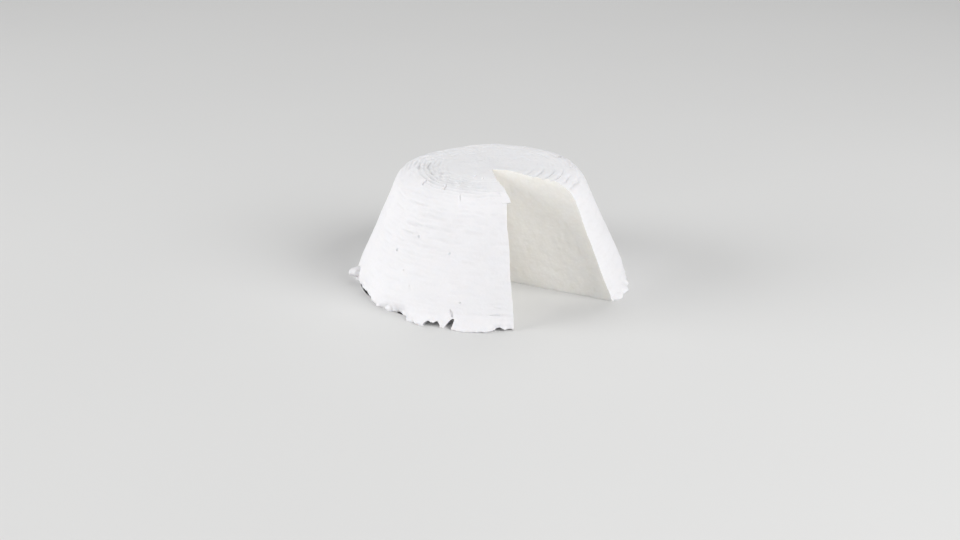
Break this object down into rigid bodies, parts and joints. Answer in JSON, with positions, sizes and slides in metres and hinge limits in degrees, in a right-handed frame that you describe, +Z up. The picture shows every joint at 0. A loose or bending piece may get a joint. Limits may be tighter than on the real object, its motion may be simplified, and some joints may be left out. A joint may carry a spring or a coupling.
{
  "type": "moulded ricotta round",
  "caption": "Basket-moulded round of fresh ricotta, a flat-topped cone with rounded shoulders, ring and seam marks in the skin and a wedge cut out, resting on its wide side.",
  "frame": {"origin": "axis of the mould in the plane of the underside, just behind the tip of the notch", "axes": "+Z up the axis of the mould, away from the surface the round stands on; the notch opens between -Y and +X"},
  "size_m": [0.2019, 0.2032, 0.0834],
  "materials": {
    "ricotta_curd": "moist matte, fine-grained white curd"
  },
  "bodies": {
    "root": {"ricotta_round": "ricotta_curd"}
  },
  "joints": []
}
